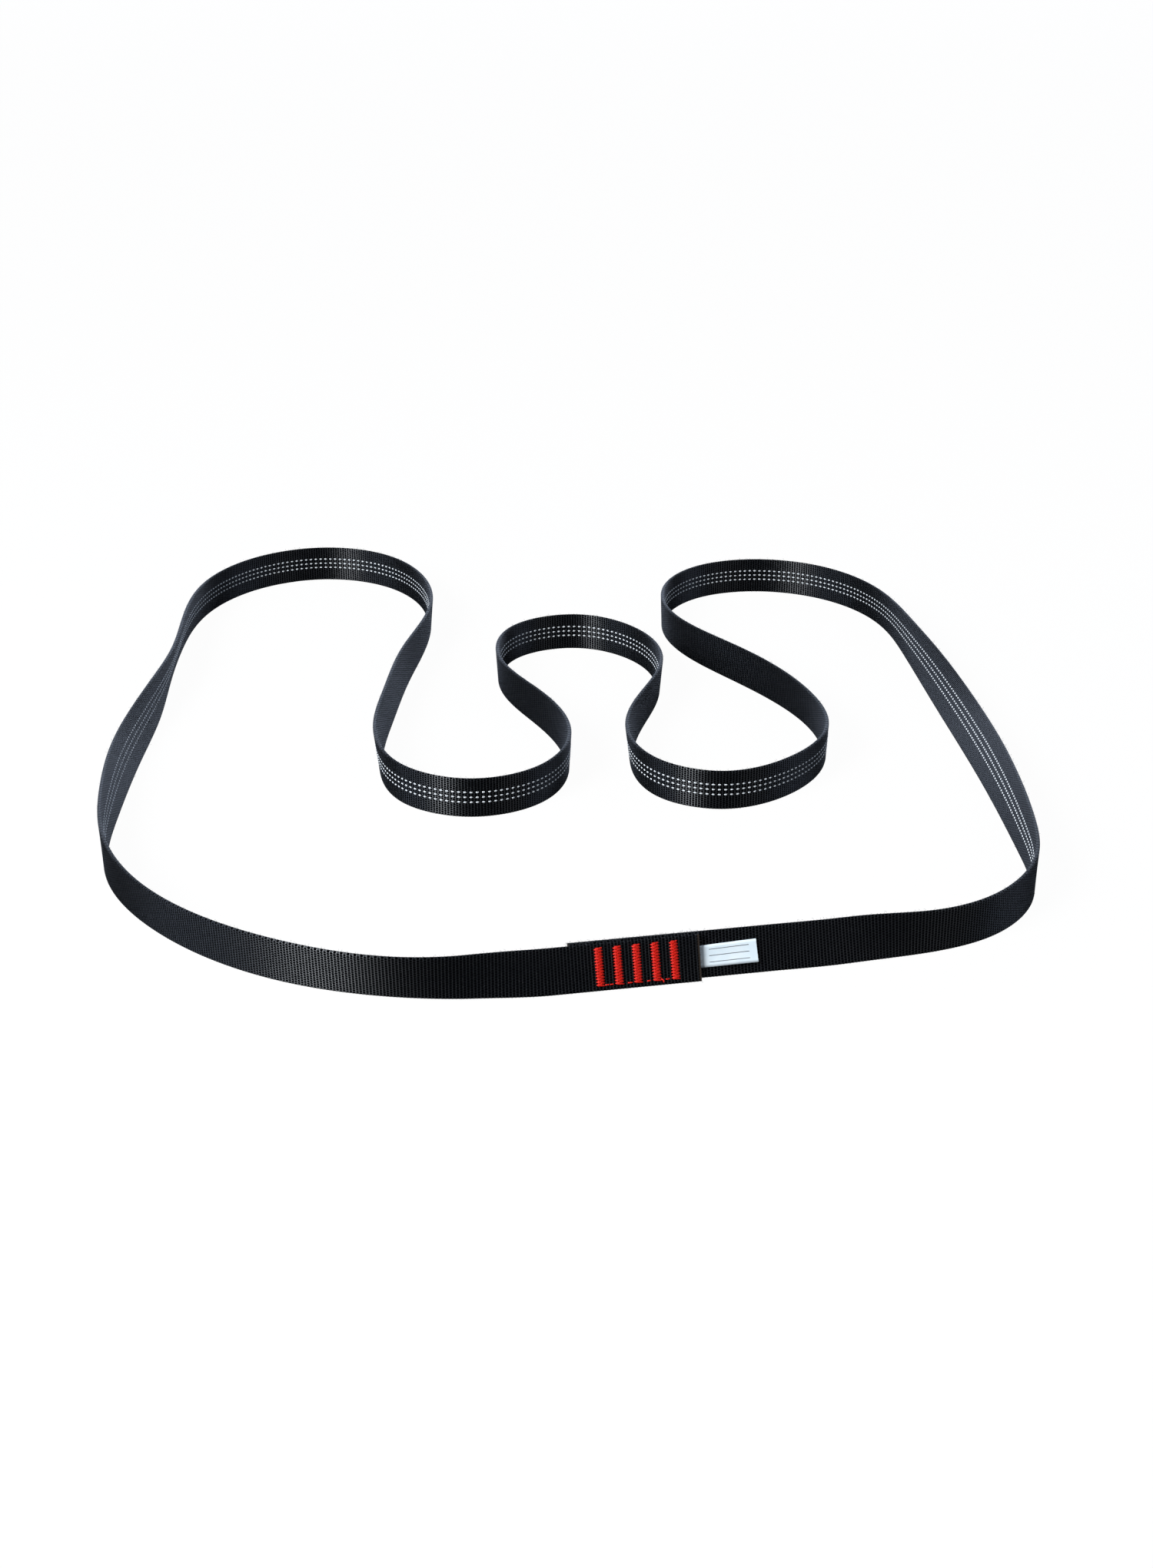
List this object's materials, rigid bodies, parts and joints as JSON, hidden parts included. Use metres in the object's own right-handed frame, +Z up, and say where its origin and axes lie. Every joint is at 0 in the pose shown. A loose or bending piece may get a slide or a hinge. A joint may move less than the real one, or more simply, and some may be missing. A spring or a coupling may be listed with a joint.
{
  "type": "webbing sling",
  "caption": "Sewn climbing sling: a closed loop of flat webbing joined by bar tacks at a lap, with a small label, lying in loose curves on its edge.",
  "frame": {"origin": "on the surface the sling lies on, under the middle of its box", "axes": "+Z up across the tape's width, -Y towards the sewn lap, +X to the right when seen from the lap's side"},
  "size_m": [0.3942, 0.4604, 0.018],
  "materials": {
    "webbing": "black woven polyamide tape, matt with a slight sheen",
    "tracer_yarn": "white yarn woven into the tape, matt",
    "tack_thread": "red sewing thread with a soft lustre",
    "label": "pale bluish-white satin ribbon"
  },
  "bodies": {
    "sling": {"webbing_tape": "webbing", "tracer_yarn_bottom": "tracer_yarn", "tracer_yarn_middle": "tracer_yarn", "tracer_yarn_top": "tracer_yarn", "bar_tack_1": "tack_thread", "bar_tack_2": "tack_thread", "bar_tack_3": "tack_thread", "bar_tack_4": "tack_thread", "bar_tack_5": "tack_thread", "link_stitch_1": "tack_thread", "link_stitch_2": "tack_thread", "link_stitch_3": "tack_thread", "link_stitch_4": "tack_thread", "label_root": "label"},
    "label": {"label_flap": "label"}
  },
  "joints": [
    {"name": "label_lift", "type": "hinge", "parent": "sling", "child": "label", "pos_m": [0.05449, -0.2112, 0.00831], "axis": [0.067, -0.3354, -0.9397], "range_deg": [0, 100]}
  ]
}
